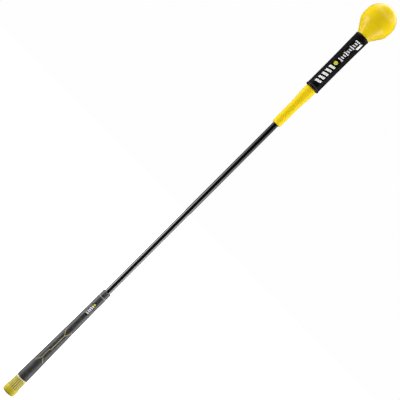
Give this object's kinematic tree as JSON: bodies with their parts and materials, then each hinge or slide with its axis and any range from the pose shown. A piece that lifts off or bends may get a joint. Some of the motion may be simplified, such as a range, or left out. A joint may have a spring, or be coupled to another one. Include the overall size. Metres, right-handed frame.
{
  "type": "swing trainer stick",
  "caption": "Golf swing trainer: a rubber grip with a ribbed end, a springy slim rod, a tapered moulding, a weighted black sleeve and a round weighted ball at the tip.",
  "frame": {"origin": "centre of the flat end of the grip's butt cap", "axes": "+Z along the rod, from the grip to the ball; the rod flexes in the X-Z plane"},
  "size_m": [0.064, 0.064, 1.016],
  "materials": {
    "cap_yellow": "satin",
    "ribbed_yellow": "satin",
    "edge_pale": "satin",
    "grip_rubber": "matte",
    "white_rubber": "satin",
    "masking_tape": "matte",
    "gloss_black_rod": "gloss",
    "head_yellow": "satin",
    "sleeve_rubber": "satin",
    "bare_steel": "satin",
    "spring_steel": "satin",
    "cast_iron": "matte"
  },
  "bodies": {
    "grip": {"butt_cap": "cap_yellow", "ribbed_end": "ribbed_yellow", "edge_ring": "edge_pale", "grip_body": "grip_rubber", "grip_tape": "masking_tape", "white_ring": "white_rubber", "grip_collar": "grip_rubber", "rod_butt_length": "gloss_black_rod"},
    "rod_1": {"rod_flex_length_1": "gloss_black_rod"},
    "rod_2": {"rod_flex_length_2": "gloss_black_rod"},
    "rod_3": {"rod_flex_length_3": "gloss_black_rod"},
    "rod_4": {"rod_flex_length_4": "gloss_black_rod"},
    "rod_5": {"rod_flex_length_5": "gloss_black_rod"},
    "head": {"rod_tip_length": "gloss_black_rod", "taper_sleeve": "head_yellow", "head_sleeve": "sleeve_rubber", "weight_tube": "bare_steel", "roll_pin_lower": "spring_steel", "roll_pin_upper": "spring_steel", "ball_shell": "head_yellow", "ball_core": "cast_iron", "core_pin": "spring_steel"}
  },
  "joints": [
    {"name": "flex_1", "type": "hinge", "parent": "grip", "child": "rod_1", "pos_m": [0, 0, 0.30383], "axis": [0, 1, 0], "range_deg": [-7, 7], "stiffness_Nm_per_rad": 560},
    {"name": "flex_2", "type": "hinge", "parent": "rod_1", "child": "rod_2", "pos_m": [0, 0, 0.3775], "axis": [0, 1, 0], "range_deg": [-6.17, 6.17], "stiffness_Nm_per_rad": 560},
    {"name": "flex_3", "type": "hinge", "parent": "rod_2", "child": "rod_3", "pos_m": [0, 0, 0.45117], "axis": [0, 1, 0], "range_deg": [-5.36, 5.36], "stiffness_Nm_per_rad": 560},
    {"name": "flex_4", "type": "hinge", "parent": "rod_3", "child": "rod_4", "pos_m": [0, 0, 0.52483], "axis": [0, 1, 0], "range_deg": [-4.53, 4.53], "stiffness_Nm_per_rad": 560},
    {"name": "flex_5", "type": "hinge", "parent": "rod_4", "child": "rod_5", "pos_m": [0, 0, 0.5985], "axis": [0, 1, 0], "range_deg": [-3.7, 3.7], "stiffness_Nm_per_rad": 560},
    {"name": "flex_6", "type": "hinge", "parent": "rod_5", "child": "head", "pos_m": [0, 0, 0.67217], "axis": [0, 1, 0], "range_deg": [-2.88, 2.88], "stiffness_Nm_per_rad": 560}
  ],
  "couplings": [
    {"joint": "flex_2", "follows": "flex_1", "ratio": 0.882},
    {"joint": "flex_3", "follows": "flex_1", "ratio": 0.765},
    {"joint": "flex_4", "follows": "flex_1", "ratio": 0.647},
    {"joint": "flex_5", "follows": "flex_1", "ratio": 0.529},
    {"joint": "flex_6", "follows": "flex_1", "ratio": 0.412}
  ]
}
